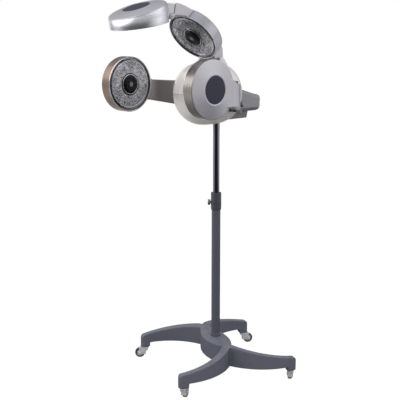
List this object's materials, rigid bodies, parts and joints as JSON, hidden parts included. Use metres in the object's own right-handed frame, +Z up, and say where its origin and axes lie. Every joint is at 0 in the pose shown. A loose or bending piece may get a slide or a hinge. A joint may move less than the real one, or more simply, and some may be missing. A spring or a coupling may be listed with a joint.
{
  "type": "hair color processor",
  "caption": "Mobile infrared hair processor: round heating pods on hinged arms over a domed housing, on a height-adjustable pole with a curved four-legged caster base.",
  "frame": {"origin": "on the floor under the mast axis", "axes": "+Z up along the mast, -Y towards the client (the heating pods), +X to the pods' right-hand arm"},
  "size_m": [0.7001, 0.9006, 1.587],
  "materials": {
    "base_paint": "slate powder coat",
    "column_paint": "slate powder coat",
    "collar_black": "satin moulded",
    "zinc_steel": "zinc plated",
    "guide_plastic": "natural",
    "knob_chrome": "polished",
    "pole_chrome": "polished",
    "frame_steel": "black",
    "caster_chrome": "polished",
    "tread_dark": "matte",
    "tread_brown": "matte",
    "housing_ivory": "pearl",
    "housing_grey": "pearl",
    "cover_silver": "metallic silver",
    "band_metal": "brushed",
    "reflector_metal": "bright",
    "hub_black": "satin",
    "lamp_ceramic": "frosted",
    "disc_slate": "satin",
    "wedge_metal": "brushed",
    "box_silver": "metallic silver",
    "plinth_grey": "metallic silver",
    "panel_dark": "satin",
    "window_glass": "smoked",
    "button_grey": "matte",
    "knob_black": "ribbed",
    "inlet_black": "satin",
    "switch_black": "gloss",
    "board_green": "lacquered"
  },
  "bodies": {
    "stand": {"base_casting": "base_paint", "column_bolt": "zinc_steel", "lower_column": "column_paint", "height_collar": "collar_black", "pole_bush": "guide_plastic"},
    "clamp": {"clamp_knob": "knob_chrome"},
    "mast": {"chrome_pole": "pole_chrome", "pole_guide": "guide_plastic"},
    "yoke": {"swivel_yoke": "frame_steel"},
    "head": {"housing_upper_shell": "housing_ivory", "housing_lower_shell": "housing_grey", "head_frame": "frame_steel", "cross_pins": "zinc_steel", "arm_hinge_pins": "zinc_steel", "control_box_shell": "box_silver", "control_box_plinth": "plinth_grey", "control_panel": "panel_dark", "display_window": "window_glass", "power_inlet": "inlet_black", "control_board": "board_green"},
    "tilt_lock": {"tilt_lock_knob": "knob_black"},
    "dial": {"side_dial": "knob_black"},
    "rocker": {"power_switch": "switch_black"},
    "start": {"start_button": "button_grey"},
    "level": {"level_button": "button_grey"},
    "timer": {"timer_button": "button_grey"},
    "right_pod": {"right_pod_cover": "cover_silver", "right_pod_band": "band_metal", "right_pod_reflector": "reflector_metal", "right_pod_hub": "hub_black", "right_pod_lamp": "lamp_ceramic", "right_pod_disc": "disc_slate"},
    "left_pod": {"left_pod_cover": "cover_silver", "left_pod_band": "band_metal", "left_pod_reflector": "reflector_metal", "left_pod_hub": "hub_black", "left_pod_lamp": "lamp_ceramic", "left_pod_disc": "disc_slate"},
    "upper_pod": {"upper_pod_cover": "cover_silver", "upper_pod_band": "band_metal", "upper_pod_reflector": "reflector_metal", "upper_pod_hub": "hub_black", "upper_pod_lamp": "lamp_ceramic", "upper_pod_disc": "disc_slate", "top_hinge_pin": "zinc_steel", "top_hinge_wedge": "wedge_metal"},
    "top_pod": {"top_pod_cover": "cover_silver", "top_pod_band": "band_metal", "top_pod_reflector": "reflector_metal", "top_pod_hub": "hub_black", "top_pod_lamp": "lamp_ceramic", "top_pod_disc": "disc_slate"},
    "fork_front": {"caster_front_fork": "caster_chrome"},
    "wheel_front": {"caster_front_wheel": "tread_brown"},
    "fork_right": {"caster_right_fork": "caster_chrome"},
    "wheel_right": {"caster_right_wheel": "tread_brown"},
    "fork_rear": {"caster_rear_fork": "caster_chrome"},
    "wheel_rear": {"caster_rear_wheel": "tread_dark"},
    "fork_left": {"caster_left_fork": "caster_chrome"},
    "wheel_left": {"caster_left_wheel": "tread_dark"}
  },
  "joints": [
    {"name": "pole_height", "type": "slide", "parent": "stand", "child": "mast", "axis": [0, 0, 1], "range_m": [-0.22, 0.12]},
    {"name": "clamp_turn", "type": "hinge", "parent": "stand", "child": "clamp", "pos_m": [0, 0, 0.755], "axis": [-0.7071, -0.7071, 0], "range_deg": [0, 360]},
    {"name": "head_swivel", "type": "hinge", "parent": "mast", "child": "yoke", "pos_m": [0, 0, 1.11], "axis": [0, 0, 1], "range_deg": [-180, 180]},
    {"name": "head_tilt", "type": "hinge", "parent": "yoke", "child": "head", "pos_m": [0, 0.005, 1.151], "axis": [1, 0, 0], "range_deg": [-15, 10]},
    {"name": "tilt_lock_turn", "type": "hinge", "parent": "head", "child": "tilt_lock", "pos_m": [0, 0.005, 1.151], "axis": [1, 0, 0], "range_deg": [-120, 0]},
    {"name": "right_arm_swing", "type": "hinge", "parent": "head", "child": "right_pod", "pos_m": [0.132, -0.031, 1.21], "axis": [0, 0, 1], "range_deg": [-8, 60]},
    {"name": "left_arm_swing", "type": "hinge", "parent": "head", "child": "left_pod", "pos_m": [-0.132, -0.031, 1.21], "axis": [0, 0, -1], "range_deg": [-8, 60]},
    {"name": "upper_pod_tilt", "type": "hinge", "parent": "head", "child": "upper_pod", "pos_m": [0, -0.03, 1.351], "axis": [1, 0, 0], "range_deg": [-20, 4]},
    {"name": "top_pod_tilt", "type": "hinge", "parent": "upper_pod", "child": "top_pod", "pos_m": [0, -0.292, 1.524], "axis": [1, 0, 0], "range_deg": [0, 25]},
    {"name": "dial_turn", "type": "hinge", "parent": "head", "child": "dial", "pos_m": [0.09, 0.064, 1.173], "axis": [1, 0, 0], "range_deg": [0, 270]},
    {"name": "rocker_rock", "type": "hinge", "parent": "head", "child": "rocker", "pos_m": [0.027, 0.12212, 1.12582], "axis": [-1, 0, 0], "range_deg": [-10, 0]},
    {"name": "start_press", "type": "slide", "parent": "head", "child": "start", "axis": [0, -0.2603, -0.9655], "range_m": [0, 0.0015], "stiffness_N_per_m": 400},
    {"name": "level_press", "type": "slide", "parent": "head", "child": "level", "axis": [0, -0.2603, -0.9655], "range_m": [0, 0.0015], "stiffness_N_per_m": 400},
    {"name": "timer_press", "type": "slide", "parent": "head", "child": "timer", "axis": [0, -0.2603, -0.9655], "range_m": [0, 0.0015], "stiffness_N_per_m": 400},
    {"name": "caster_front_swivel", "type": "hinge", "parent": "stand", "child": "fork_front", "pos_m": [0.12905, -0.32103, 0.05], "axis": [0, 0, 1], "continuous": true},
    {"name": "caster_front_roll", "type": "hinge", "parent": "fork_front", "child": "wheel_front", "pos_m": [0.11685, -0.29807, 0.0225], "axis": [-0.8829, -0.4695, 0], "continuous": true},
    {"name": "caster_right_swivel", "type": "hinge", "parent": "stand", "child": "fork_right", "pos_m": [0.32103, 0.12905, 0.05], "axis": [0, 0, 1], "continuous": true},
    {"name": "caster_right_roll", "type": "hinge", "parent": "fork_right", "child": "wheel_right", "pos_m": [0.30265, 0.14744, 0.0225], "axis": [-0.7071, -0.7071, 0], "continuous": true},
    {"name": "caster_rear_swivel", "type": "hinge", "parent": "stand", "child": "fork_rear", "pos_m": [-0.12905, 0.32103, 0.05], "axis": [0, 0, 1], "continuous": true},
    {"name": "caster_rear_roll", "type": "hinge", "parent": "fork_rear", "child": "wheel_rear", "pos_m": [-0.11605, 0.34355, 0.0225], "axis": [-0.866, 0.5, 0], "continuous": true},
    {"name": "caster_left_swivel", "type": "hinge", "parent": "stand", "child": "fork_left", "pos_m": [-0.32103, -0.12905, 0.05], "axis": [0, 0, 1], "continuous": true},
    {"name": "caster_left_roll", "type": "hinge", "parent": "fork_left", "child": "wheel_left", "pos_m": [-0.33942, -0.14744, 0.0225], "axis": [0.7071, -0.7071, 0], "continuous": true}
  ]
}
